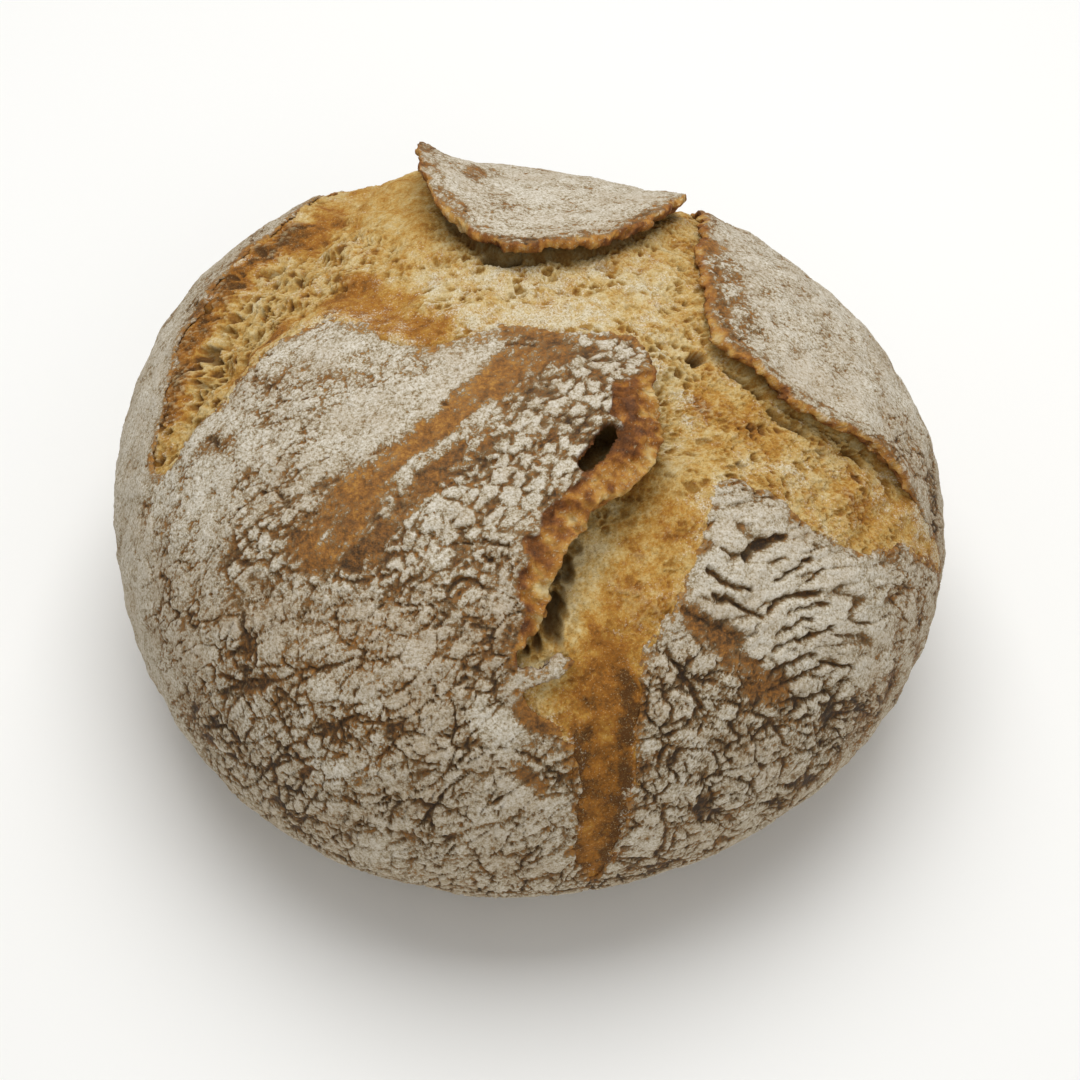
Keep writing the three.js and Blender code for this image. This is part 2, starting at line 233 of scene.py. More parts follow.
def resting_radius(way):
    """Distance from the heart to the crust before it tore: a superellipse turned round an uneven
    girth."""
    turn = np.arctan2(way[1], way[0])
    girth = GIRTH_RADIUS * (
        1 + GIRTH_OVAL[0] * np.cos(2 * turn) + GIRTH_OVAL[1] * np.sin(2 * turn)
        + GIRTH_TRIANGLE[0] * np.cos(3 * turn) + GIRTH_TRIANGLE[1] * np.sin(3 * turn))
    upper = way[2] >= 0
    reach = np.where(upper, CROWN_RISE, BELLY_DROP)
    power = np.where(upper, CROWN_FULLNESS, BELLY_FULLNESS)
    across = (np.hypot(way[0], way[1]) / girth) ** power
    return (across + (np.abs(way[2]) / reach) ** power) ** (-1 / power)


def lumps(at, spacing):
    """Soft lumps from -1 to 1: a sum of three sine products at unlike angles."""
    k = 2 * np.pi / spacing
    x, y, z = at
    return (np.sin(k * (x + 0.31 * y)) * np.sin(k * (y - 0.23 * z) + 1.3)
            + np.sin(k * 0.73 * (z + 0.4 * x) + 2.1) * np.sin(k * 0.81 * (x - 0.5 * y))
            + np.sin(k * 1.37 * (y + 0.6 * z) + 0.7) * np.sin(k * 1.21 * (z - 0.7 * x) + 4)) / 3


def closed_spline(points, steps):
    """A closed curve through points, as cubic pieces whose knots are the square roots of the spans."""
    before, start, end, after = (np.roll(points, shift, 0) for shift in (1, 0, -1, -2))

    def span(a, b):
        return np.linalg.norm(b - a, axis=1)[:, None] ** 0.5

    first, middle, last = span(before, start), span(start, end), span(end, after)
    leave = ((start - before) / first - (end - before) / (first + middle)) * middle + end - start
    arrive = ((after - end) / last - (after - start) / (middle + last)) * middle + end - start
    t = (np.arange(steps) / steps)[None, :, None]
    start, end, leave, arrive = (a[:, None, :] for a in (start, end, leave, arrive))
    curve = (start + leave * t + (3 * (end - start) - 2 * leave - arrive) * t ** 2
             + (2 * (start - end) + leave + arrive) * t ** 3)
    return curve.reshape(-1, points.shape[1])


def opening_outline(steps=8):
    """The opening's edge as close samples: places on the chart, points in mm, values of the stretch."""
    points = np.array([point for *_, places in STRETCHES for point in places], float)
    values = np.array([sizes for _, sizes, places in STRETCHES for _ in places], float)
    share = np.tile(np.arange(steps) / steps, len(points))[:, None]
    here = np.repeat(values, steps, 0)
    following = np.repeat(np.roll(values, -1, 0), steps, 0)
    places = closed_spline(points, steps)
    way = direction(places[:, 0], places[:, 1])
    return places, way * resting_radius(way), here * (1 - share) + following * share


EDGE_PLACES, EDGE_POINTS, EDGE_VALUES = opening_outline()


def blocks(count):
    """Slices that take `count` places a block at a time."""
    return [slice(start, start + BLOCK) for start in range(0, count, BLOCK)]


def inside_opening(u, v):
    """True where a place on the chart lies inside the opening, by counting the edges crossed."""
    a, b = EDGE_PLACES, np.roll(EDGE_PLACES, -1, 0)
    inside = np.zeros(u.shape, bool)
    slope = (b[:, 0] - a[:, 0]) / (b[:, 1] - a[:, 1] + 1e-12)
    for part in blocks(len(u)):
        x, y = u[part, None], v[part, None]
        crossed = ((a[:, 1] > y) != (b[:, 1] > y)) & (x < a[:, 0] + (y - a[:, 1]) * slope)
        inside[part] = crossed.sum(1) % 2 == 1
    return inside


def near_edge(at, u, v):
    """Signed distance to the opening's edge in mm (negative inside it), the unit direction away
    from the opening, and the stretch's values there, weighted by closeness."""
    count = len(u)
    distance = np.empty(count)
    away = np.empty((3, count))
    values = np.empty((count, EDGE_VALUES.shape[1]))
    total = len(EDGE_PLACES)
    square = (EDGE_POINTS ** 2).sum(0)
    for part in blocks(count):
        p = at[:, part]
        nearest = (square - 2 * p.T @ EDGE_POINTS).argmin(1)
        best = None
        for first in (nearest - 1, nearest):
            a = EDGE_POINTS[:, first % total]
            along = EDGE_POINTS[:, (first + 1) % total] - a
            t = np.clip(((p - a) * along).sum(0) / (along ** 2).sum(0), 0, 1)
            offset = p - a - along * t
            length = np.sqrt((offset ** 2).sum(0))
            if best is None:
                best, foot = length, offset
            else:
                foot = np.where(length < best, offset, foot)
                best = np.minimum(length, best)
        distance[part] = best
        away[:, part] = foot
        gap = (u[part, None] - EDGE_PLACES[:, 0]) ** 2 + (v[part, None] - EDGE_PLACES[:, 1]) ** 2
        weight = 1 / (gap + 1) ** 2
        values[part] = weight @ EDGE_VALUES / weight.sum(1)[:, None]
    sign = np.where(inside_opening(u, v), -1, 1)
    away *= sign / np.maximum(distance, 1e-9)
    return distance * sign, away, values.T


# ------------------------------------------------------------------ noise


def scrambled(cell, seed):
    """Whole-number triples as evenly spread 32-bit numbers, the same on every run."""
    i, j, k = (row.astype(np.uint32) for row in cell)
    h = i * np.uint32(0x9E3779B1) + j * np.uint32(0x85EBCA77) + k * np.uint32(0xC2B2AE3D)
    h += np.uint32(seed * 0x27D4EB2F & 0xFFFFFFFF)
    h ^= h >> np.uint32(15)
    h *= np.uint32(0x2C1B3C6D)
    h ^= h >> np.uint32(12)
    h *= np.uint32(0x297A2D39)
    h ^= h >> np.uint32(15)
    return h


def three_numbers(h):
    """Three numbers from 0 to 1 out of the ten-bit fields of a scrambled number."""
    ten_bits = np.uint32(1023)
    fields = (h & ten_bits, h >> np.uint32(10) & ten_bits, h >> np.uint32(20) & ten_bits)
    return [field.astype(np.float32) * np.float32(1 / 1023) for field in fields]


def ripple(at, size, seed):
    """Gradient noise, about -1 to 1: each corner of a lattice `size` mm wide leans its own way,
    and the leans of the eight corners are blended by 6t⁵ − 15t⁴ + 10t³."""
    p = (at / size).astype(np.float32)
    low = np.floor(p)
    t = p - low
    cell = low.astype(np.int32)
    blend = t * t * t * (t * (t * 6 - 15) + 10)
    total = np.zeros(p.shape[1], np.float32)
    for corner in product((0, 1), repeat=3):
        lean = three_numbers(scrambled([cell[n] + corner[n] for n in range(3)], seed))
        slope = sum((t[n] - corner[n]) * (2 * lean[n] - 1) for n in range(3))
        weight = np.float32(1)
        for n in range(3):
            weight = weight * (blend[n] if corner[n] else 1 - blend[n])
        total += slope * weight
    return total * np.float32(1.6)


def layered(at, size, seed, layers):
    """Ripples of halving size and height, summed."""
    return sum(ripple(at, size / 2 ** n, seed + 31 * n) / 2 ** n for n in range(layers))


def cells(at, size, seed):
    """Cellular noise over points strewn one to a lattice cube: half the difference between the
    second nearest and the nearest in mm, the nearest in mm, and a number from 0 to 1 for each cell."""
    p = (at / size).astype(np.float32)
    low = np.floor(p)
    first = np.full(p.shape[1], 9, np.float32)
    second = first.copy()
    owner = np.zeros(p.shape[1], np.uint32)
    cell = low.astype(np.int32)
    for step in product((-1, 0, 1), repeat=3):
        h = scrambled([cell[n] + step[n] for n in range(3)], seed)
        spot = three_numbers(h)
        gap = sum((low[n] + (step[n] + spot[n]) - p[n]) ** 2 for n in range(3))
        nearer = gap < first
        second = np.where(nearer, first, np.minimum(second, gap))
        owner = np.where(nearer, h, owner)
        first = np.where(nearer, gap, first)
    first, second = np.sqrt(first), np.sqrt(second)
    number = (owner * np.uint32(0x9E3779B1) >> np.uint32(8)).astype(np.float32) / 2 ** 24
    return (second - first) * (size / 2), first * size, number


def drawn_out(at, start, end, times):
    """Points squeezed along the line between two chart places, so that a pattern grows longer that way."""
    line = direction(*end) - direction(*start)
    line /= np.linalg.norm(line)
    return at - line[:, None] * (line @ at) * (1 - 1 / times)


# ------------------------------------------------------------------ painting on the chart


def from_line(u, v, line):
    """Distance in degrees from a bent line, or from a single place, on the chart."""
    if len(line) == 1:
        return np.hypot(u - line[0][0], v - line[0][1])
    nearest = np.full(u.shape, np.inf)
    for (a, b), (c, d) in zip(line, line[1:]):
        t = np.clip(((u - a) * (c - a) + (v - b) * (d - b)) / ((c - a) ** 2 + (d - b) ** 2), 0, 1)
        nearest = np.minimum(nearest, np.hypot(u - a - (c - a) * t, v - b - (d - b) * t))
    return nearest


def painted(u, v, ground, zones, softness):
    """The ground's amounts, with each zone laid over them in turn like a stroke of a soft brush."""
    amounts = {name: np.full(u.shape, float(value)) for name, value in ground.items()}
    for _, wanted, half, line in zones:
        cover = smooth(half * (1 + softness) + 0.3, half * (1 - softness) - 0.3, from_line(u, v, line))
        for name, value in wanted.items():
            amounts[name] += (value - amounts[name]) * cover
    return amounts


# The floured crust. flour: how thickly it lies, from bare at 0 to a solid white at 1. bake: from
# golden to dark brown below the flour. grey: how far the flour has dulled. islands, ridges, plates
# (the cells of branching cracks), flecks, streaks: how strongly the flour has broken up that way.
# torn: where the skin is gone and the toasted inside of the crust shows.
CRUST_GROUND = dict(
    flour=0.8, bake=0.6, grey=0.5, islands=0, ridges=0, plates=0.3, flecks=0.8, streaks=0, torn=0)
CRUST_ZONES = [
    ("lower front", dict(flour=0.86, bake=0.62, plates=1, flecks=0.6, grey=0.6), 20,
     [(-45, -72), (-20, -84), (20, -86), (50, -74)]),
    ("left shoulder, brightly floured", dict(flour=0.9, plates=0.15, flecks=1, grey=0.1, bake=0.55), 12,
     [(-58, -22), (-42, -14), (-26, -14), (-14, -8)]),
    ("left petal along the ridge",
     dict(flour=0.84, plates=0, flecks=0.9, grey=0.1, bake=0.45, streaks=0.4), 5,
     [(-40, -2), (-30, -4), (-16, -9), (-4, -6), (8, -5)]),
    ("smoothest bright flour", dict(flour=0.92, plates=0, flecks=0.6, grey=0.1), 4.5,
     [(-30, -22), (-22, -19.5)]),
    ("grey plates", dict(flour=0.8, plates=0.5, flecks=1, grey=0.9, bake=0.6), 10,
     [(-34, -57), (-22, -58), (-8, -55)]),
    ("mauve brown patch", dict(flour=0.56, plates=0.3, flecks=1, grey=1, bake=0.8), 4.5,
     [(-45, -47), (-38, -50)]),
    ("branching cracks", dict(flour=0.9, plates=0.8, flecks=1, grey=0.3, bake=0.5), 7,
     [(-50, -56), (-40, -64), (-28, -69)]),
    ("long cracks of the lower front", dict(ridges=0.7, plates=0.5), 11,
     [(-24, -82), (-8, -78), (4, -82)]),
    ("chunky islands", dict(flour=1, islands=1, plates=0, flecks=0.45, grey=0, bake=0.6, streaks=0.3), 10,
     [(-14, -38), (2, -32), (10, -24), (16, -13)]),
    ("smaller islands further down",
     dict(flour=0.88, islands=0.9, plates=0, flecks=0.8, grey=0.2, bake=0.6), 5.5,
     [(-45, -38), (-34, -43), (-20, -46), (-8, -48)]),
    ("first bare band", dict(flour=0.3, islands=0.25, plates=0, flecks=1, bake=0.35, streaks=1.2), 4,
     [(-33, -41), (-28, -36), (-22, -31), (-15, -26), (-8, -20.5), (-2, -14), (5, -8)]),
    ("heart of the first bare band", dict(flour=0.2, islands=0, flecks=1, bake=0.3), 2.6,
     [(-15, -25), (-10, -20.5), (-5, -18)]),
    ("second bare band", dict(flour=0.46, islands=0.6, plates=0, flecks=1, bake=0.45, streaks=1), 2.2,
     [(-26, -44), (-21, -40), (-16, -35.5), (-11, -32), (-6, -28)]),
    ("floured spit between the bands", dict(flour=0.9, islands=0.4, bake=0.4), 1.3,
     [(-19, -33.5), (-13, -29.5), (-8, -26), (-3, -21)]),
    ("grey brown patch", dict(flour=0.5, flecks=1, bake=0.6, grey=0.8), 2.6, [(0, -5), (7, -6)]),
    ("right petal's bold ridges", dict(flour=1, ridges=1, plates=0, flecks=0.35, grey=0.15, bake=0.65), 13,
     [(38, -44), (48, -48), (60, -46)]),
    ("right petal's lower side",
     dict(flour=0.86, ridges=0.4, plates=0.9, flecks=0.7, grey=0.4, bake=0.7), 10,
     [(28, -68), (44, -68), (56, -62)]),
    ("bare recess", dict(flour=0.3, ridges=0.1, flecks=1, bake=0.5), 2.4,
     [(29, -52), (34, -54), (39, -58), (44, -59)]),
    ("right rim, thinly floured", dict(flour=0.72, ridges=0.1, plates=0.3, flecks=1, grey=0.6), 9,
     [(72, -56), (74, -40), (80, -25)]),
    ("bare patch beside the front cut", dict(flour=0.3, plates=0, bake=0.45, flecks=1), 2.8,
     [(2, -66), (7, -67)]),
    ("second bare patch", dict(flour=0.3, plates=0, bake=0.5, flecks=1), 1.8, [(1, -73), (4, -75)]),
    ("bright island", dict(flour=1, plates=0.2, flecks=0.3, grey=0), 2.8, [(-5, -66), (-2, -69)]),
    ("right flap", dict(flour=0.9, plates=0, flecks=0.8, grey=0.1, streaks=0), 15,
     [(50, -2), (58, 10), (50, 25)]),
    ("right flap's bright front edge", dict(flour=0.9, flecks=0.5, grey=0.15), 3.4,
     [(42, -4), (50, -8), (58, -9)]),
    ("right flap, flaked near its edge", dict(flour=0.74, islands=0.4, flecks=1, bake=0.5, grey=0), 4,
     [(38, 0), (39, 10), (38, 20)]),
    ("right flap, amber corner", dict(flour=0.35, bake=0.3, flecks=1), 2.2, [(36, 26), (37, 28)]),
    ("top flap", dict(flour=0.9, plates=0, flecks=0.8, grey=0.15, bake=0.5), 16,
     [(-2, 36), (8, 38), (18, 42)]),
    ("top flap, bare flecks", dict(flour=0.45, bake=0.6, flecks=1), 1.3, [(-9, 40), (-7, 47)]),
    ("left rim", dict(flour=0.92, plates=0.1, flecks=0.5, grey=0.3), 9,
     [(-70, 18), (-76, -10), (-78, -35)]),
    ("floured shred", dict(flour=1.15, islands=0.6, flecks=0.5, bake=0.4, plates=0), 1.6,
     [(0, -63.6), (4, -62.4), (8.6, -61)]),
    ("long ear's torn face about the tunnel", dict(torn=1), 3.7,
     [(21, -18), (20, -25), (17, -30.5), (14.5, -34)]),
    ("long ear's torn face further down", dict(torn=1), 2.4, [(11.5, -37.5), (6.5, -42), (3.4, -48)]),
]

# Cracks and slits in the floured crust that the eye picks out: half width in degrees, places.
SLITS = [
    (0.5, [(27.2, -51.5), (30.8, -52.3), (34.7, -53), (36.4, -53)]),
    (0.5, [(32.5, -48.5), (34.7, -48.5), (37.2, -48.9), (40.4, -49.4)]),
    (0.6, [(31.6, -45.2), (34.2, -46.3), (36.7, -46.6), (38.4, -45.9)]),
    (0.35, [(33.7, -41.4), (35.5, -41.9), (37.7, -42)]),
    (1, [(37.7, -42), (39.2, -39.8), (42.3, -37.8), (44, -36.7)]),
    (0.7, [(24.7, -57.5), (26.4, -59), (28.4, -61), (30.7, -63.6)]),
    (0.4, [(43, -43.6), (45.5, -41.4), (49.1, -37.5)]),
    (0.5, [(41.5, -48.2), (42.7, -46.7), (47.3, -44.1), (50.4, -42.2)]),
    (0.2, [(37.6, -53.4), (39.6, -51.5), (40.1, -50.4)]),
    (0.35, [(39.8, -55.7), (41.3, -54.6)]),
    (0.4, [(42.7, -53.3), (44.4, -51.7), (53.3, -46.6)]),
    (0.35, [(43.1, -50.7), (49.3, -46.6)]),
    (0.3, [(48.2, -41.6), (51.3, -38.7)]),
    (0.3, [(44.7, -47.4), (51.9, -43.4)]),
    (0.45, [(43.3, -55.7), (46.2, -53.7), (51, -51)]),
    (0.4, [(43.1, -59), (47.6, -55.6), (53.2, -51.7), (58.9, -50.1)]),
    (0.35, [(45.4, -59.8), (54.5, -55.7), (58.4, -52.2)]),
    (0.35, [(-10.8, -51), (-9.5, -50), (-6.8, -49.9), (-5.1, -50.9)]),
    (0.35, [(-10.2, -44.8), (-5.2, -44.6), (-1.3, -45.2)]),
    (0.5, [(-5.2, -46.5), (-4.1, -47.5), (-3.5, -47)]),
    (0.35, [(-49.2, -52), (-46.4, -53)]),
    (0.35, [(-39, -55.6), (-36.3, -57.4), (-38.3, -58.5)]),
    (0.28, [(-36.3, -57.6), (-32.7, -58.3), (-29.7, -58.6), (-26.6, -57.9)]),
    (0.49, [(-52.1, -54.3), (-49.5, -55.8), (-47.1, -57.1), (-42.5, -57.3)]),
    (0.32, [(-40.7, -59.1), (-38.8, -60.4), (-36.8, -62.2), (-36.5, -64.3)]),
    (0.35, [(-41.6, -60.7), (-40.3, -64.3), (-39, -67.4), (-41.6, -68.2)]),
    (0.24, [(-56.4, -57.5), (-54.8, -60.5), (-56, -62.2)]),
    (0.35, [(-26.4, -65.6), (-29.4, -66), (-29.1, -67.9), (-29.6, -69.2)]),
    (0.28, [(-25.2, -61.3), (-26.5, -62.6)]),
    (0.32, [(-23.3, -71.7), (-21.3, -70.3)]),
    (0.28, [(-30, -73.7), (-30.3, -75.7)]),
    (0.21, [(-35.1, -61.1), (-34.1, -63.5)]),
    (0.5, [(-13.2, -19.7), (-12.6, -20.3)]),
    (0.3, [(-1.7, -6.5), (3.4, -6.9)]),
]

# The torn crumb. toast: from cream to orange brown. dust: flour blown over it. pores: how open and
# rough it is. fibres: how strongly it is drawn into threads.
CRUMB_GROUND = dict(toast=0.35, dust=0.25, pores=0.8, fibres=0.4)
CRUMB_ZONES = [
    ("pale crumb on the ridge", dict(toast=0.22, dust=0.5, pores=0.9), 11, [(-16, 8), (0, 9), (20, 10)]),
    ("floured streak along the ridge", dict(toast=0.3, dust=0.62, pores=0.5), 2.8,
     [(-18, 0), (0, 1), (14, 1)]),
    ("smooth skin behind", dict(toast=0.42, dust=0.12, pores=0.15, fibres=0.8), 8,
     [(-24, 36), (-25, 56)]),
    ("left gap's cream crumb", dict(toast=0.3, dust=0.3, pores=1.35), 9,
     [(-56, 3), (-53, 10), (-45, 20), (-35, 27)]),
    # The amber wall's toast is set darker than its own amber: partly its colour, partly painted shade on
    # the steep wall.
    ("left gap's amber wall", dict(toast=1, dust=0, pores=0.8), 2,
     [(-64.3, -3), (-63.4, 5), (-60.8, 13.5), (-55.5, 23), (-49, 32), (-40.8, 40)]),
    ("amber patch", dict(toast=0.85, dust=0, pores=0.3), 1.8, [(-43, 34), (-38, 40), (-36, 48)]),
    ("orange bank", dict(toast=0.88, dust=0, pores=0.25, fibres=0.1), 2.6,
     [(-51, 0), (-47, 6), (-41, 10.5), (-35, 12.5), (-30, 16)]),
    ("golden skin", dict(toast=0.74, dust=0.28, pores=0.25, fibres=0), 4.6,
     [(-29, 8), (-25, 2), (-17, -2)]),
    ("golden skin, upper side", dict(toast=0.7, dust=0.22, pores=0.25, fibres=0), 3,
     [(-28, 12), (-22, 10)]),
    ("right gap", dict(toast=0.35, dust=0.35, pores=0.85, fibres=0.3), 9,
     [(38, -15), (50, -23), (62, -23)]),
    ("right gap's golden patch", dict(toast=0.6, dust=0.08), 3.6, [(36, -15), (44, -19)]),
    ("right gap's second golden patch", dict(toast=0.62, dust=0.1), 2.6, [(59, -23), (60, -29)]),
    ("far end of the right gap", dict(toast=0.5, dust=0.4, pores=0.5), 7, [(70, -22), (80, -21)]),
    ("column between the gaps", dict(toast=0.25, dust=0.4, pores=1), 4, [(27, -2), (28, -14), (28, -24)]),
    ("orange block", dict(toast=1, dust=0, pores=0.3, fibres=0.9), 2.8, [(22, -26), (23, -31)]),
    ("front gap's ramp", dict(toast=0.52, dust=0.15, pores=0.55, fibres=0.9), 6.5,
     [(24, -38), (20, -50), (18, -58)]),
    ("front gap, pale beside the cave", dict(toast=0.15, dust=0.2, pores=0.6, fibres=1), 3.8,
     [(15, -38), (12, -46), (9, -54)]),
    ("front cut's bare strip", dict(toast=0.95, dust=0, pores=0.08, fibres=0.2), 5.4,
     [(15, -62), (15, -90)]),
    ("golden middle of the strip", dict(toast=0.8), 2, [(14, -58), (15, -70)]),
    ("dark side of the strip, left", dict(toast=1.2), 1.2, [(10.6, -68), (11.6, -92)]),
    ("dark side of the strip, right", dict(toast=1.2), 1.2, [(19, -62), (18.4, -92)]),
]


def swirled(at, size, seed, height):
    """Points moved about by three ripples, so that a pattern laid over them bends."""
    return at + height * np.stack([ripple(at, size, seed + n) for n in range(3)])


def strayed(at, u, v, seed, wide, fine):
    """Chart places moved about by a wide and a fine ripple, each given as (degrees, size in mm)."""
    return [
        place + wide[0] * ripple(at, wide[1], first) + fine[0] * ripple(at, fine[1], first + 1)
        for place, first in ((u, seed), (v, seed + 2))]


def opened(border, width, slope):
    """How far a gap has opened, 0 to 1: one half where the distance to its middle line is `width`."""
    return np.clip(0.5 - (border - width) / slope, 0, 1)


def flow(at, u, v):
    """Points squeezed along the way the dough stretched: one way left of the front cut and over the
    ridge, another on the right petal. The two meet in the front gap."""
    left = drawn_out(at, *LEFT_STRETCH, 1.45)
    right = drawn_out(at, (36, -50), (58, -42), 2)
    return np.where((u > FRONT_CUT) & (v < -18), right, left)


def slits(at, u, v):
    """How far the marked cracks have opened, 0 to 1, around their wavering lines."""
    u, v = strayed(at, u, v, 5, (0.5, 2.6), (0.22, 1.1))
    gap = np.zeros(u.shape)
    for half, line in SLITS:
        near = np.flatnonzero(np.hypot(u - line[0][0], v - line[0][1]) < LONGEST_SLIT)
        gap[near] = np.maximum(gap[near], opened(from_line(u[near], v[near], line), 0.75 * half, 0.45))
    return gap


def dressing(at, u, v):
    """Height of the flour and crust above the plain form in mm, and the amounts that the finish reads.
    Gaps between flour islands, plates and clods run along the borders of cells, cracks between
    ridges along the zero lines of drawn-out ripples."""
    amount = painted(*strayed(at, u, v, 1, (1.8, 12), (1.2, 4)), CRUST_GROUND, CRUST_ZONES, 0.45)
    islands, ridges, plates = amount["islands"], amount["ridges"], amount["plates"]
    flecks = amount["flecks"]
    grain = ripple(at, 1, 21)
    grit = ripple(at, 1.7, 22)
    blotch = ripple(at, 3.4, 23)
    lean = drawn_out(at, *LEFT_STRETCH, 2.2)
    clump = 0.75 * ripple(lean, 4.6, 92) + 0.5 * ripple(lean, 2, 93)
    drift = 0.7 * ripple(at, 15, 24) + 0.5 * ripple(at, 6.3, 91)

    bent = swirled(swirled(flow(at, u, v), 8, 11, 1.4), 2.4, 14, 0.7)
    border, _, kind = cells(bent, ISLAND_SIZE, 31)
    island_gap = opened(border + 0.18 * grit + 0.15 * grain, 0.17 + 0.2 * blotch + 0.15 * drift, 0.5)
    island_gap = np.maximum(island_gap, smooth(0.08, 0.04, kind))

    right_ridges = drawn_out(at, (38, -49), (56, -42), 3.4)
    drawn = np.where(u > FRONT_CUT, right_ridges, drawn_out(at, (-20, -80), (4, -72), 3))
    run = np.abs(ripple(swirled(drawn, 5, 15, 0.9), RIDGE_SPACING, 32)) * 2.2 + 0.12 * grain
    ridge_gap = opened(run, 0.08 + 0.4 * ripple(at, 6, 27), 0.7)

    right_plates = drawn_out(at, (36, -68), (58, -62), 1.7)
    drawn = np.where(u > FRONT_CUT, right_plates, drawn_out(at, (-20, -82), (4, -70), 1.8))
    drawn = swirled(swirled(drawn, 9, 36, 1.8), 2.2, 90, 0.6)
    border, _, _ = cells(drawn, PLATE_SIZE, 37)
    plate_gap = opened(border + 0.1 * grain, 0.22 * plates - 0.03 + 0.15 * blotch + 0.1 * drift, 0.28)
    border, _, _ = cells(drawn, SMALL_PLATE_SIZE, 38)
    width = np.minimum(0.2 * plates - 0.12 + 0.15 * drift + 0.1 * blotch, 0.2)
    plate_gap = np.maximum(plate_gap, opened(border + 0.08 * grain, width, 0.22))
    plate_gap *= smooth(0, 0.2, plates)

    border, middle, _ = cells(swirled(flow(at, u, v), 2, 46, 0.5), CLOD_SIZE, 35)
    lobe = 0.55 - middle / CLOD_SIZE
    clod_gap = opened(border + 0.08 * grain, 0.02 + 0.08 * blotch + 0.08 * drift - 0.1 * clump, 0.2)
    streak = (ripple(drawn_out(at, *BAND_STREAKS, 5), 2.6, 39)
              + 0.6 * ripple(drawn_out(at, *BAND_STREAKS, 4), 1.3, 40))

    slit = slits(at, u, v)
    puff = np.maximum(islands, ridges)
    swollen = 0.5 + 0.5 * puff
    gap = np.maximum.reduce([islands * island_gap, ridges * ridge_gap, plate_gap, slit])
    flour = (amount["flour"] + 0.03 + flecks * (0.36 * clump - 0.15 * drift - 0.06)
             - 0.85 * gap - 0.45 * flecks * clod_gap + 0.26 * amount["streaks"] * streak
             + 0.2 * blotch + 0.1 * grit + 0.3 * lobe * swollen)
    bake = (amount["bake"] + 0.15 * ripple(at, 5, 25) + 0.15 * drift
            + 0.35 * np.maximum(gap * (1 - 0.6 * islands), slit))
    lying = smooth(0.2, 0.8, flour)
    height = (lying * (0.1 + 0.5 * puff + 0.12 * plates) + 0.45 * lobe * lying * swollen
              - 0.3 * flecks * clod_gap - 0.45 * np.maximum(ridges * ridge_gap, plate_gap)
              - 0.65 * slit + 0.15 * grit * (0.4 + 0.6 * puff) + 0.2 * blotch
              + 0.15 * flecks * clump)
    look = {"flour": np.clip(flour, 0, 1), "bake": np.clip(bake, 0, 1.2), "flecks": flecks,
            "grey": np.clip(amount["grey"] + 0.35 * drift, 0, 1),
            "torn": smooth(0.35, 0.6, amount["torn"] + 0.22 * blotch + 0.12 * grit)}
    return height, look


# ------------------------------------------------------------------ the crust and the crumb


def sheet_places(count, reach):
    """Chart places of a square grid bent into a disc, its squares turned into rings of equal
    width, and spread from the crown so that all its cells cover like areas of the crust."""
    side = np.linspace(-1, 1, count)
    a, b = (grid.ravel() for grid in np.meshgrid(side, side))
    wide = np.abs(a) > np.abs(b)
    with np.errstate(divide="ignore", invalid="ignore"):
        turn = np.where(wide, np.pi / 4 * b / a, np.pi / 2 - np.pi / 4 * a / b)
    ring = np.where(wide, a, b)
    turn = np.where(ring == 0, 0, turn)
    angle = np.linspace(0, reach, 500)
    profile = direction(angle, 0 * angle) * resting_radius(direction(angle, 0 * angle))
    width = np.hypot(*np.diff(profile[[0, 2]], axis=1))
    area = (profile[0, 1:] + profile[0, :-1]) * width * np.where(angle[1:] > SOLE_ANGLE, SOLE_SHARE, 1)
    share = np.sqrt(np.append(0, np.cumsum(area)) / area.sum())
    out = np.interp(np.abs(ring), share, angle) * np.sign(ring)
    return out * np.cos(turn), out * np.sin(turn)


def ear_lift(values, distance):
    """How far an edge's lift carries at a distance from it: rise · (1 − distance / width)²."""
    return values[RISE] * np.clip(1 - distance / EAR_WIDTH, 0, 1) ** 2


def tunnel_gap(u, v, at):
    """Distance in degrees beyond the tunnel's ragged outline, negative inside it."""
    return from_line(u, v, TUNNEL) + 0.35 * ripple(at, 2.6, 47) + 0.15 * ripple(at, 1, 48) - TUNNEL_HALF


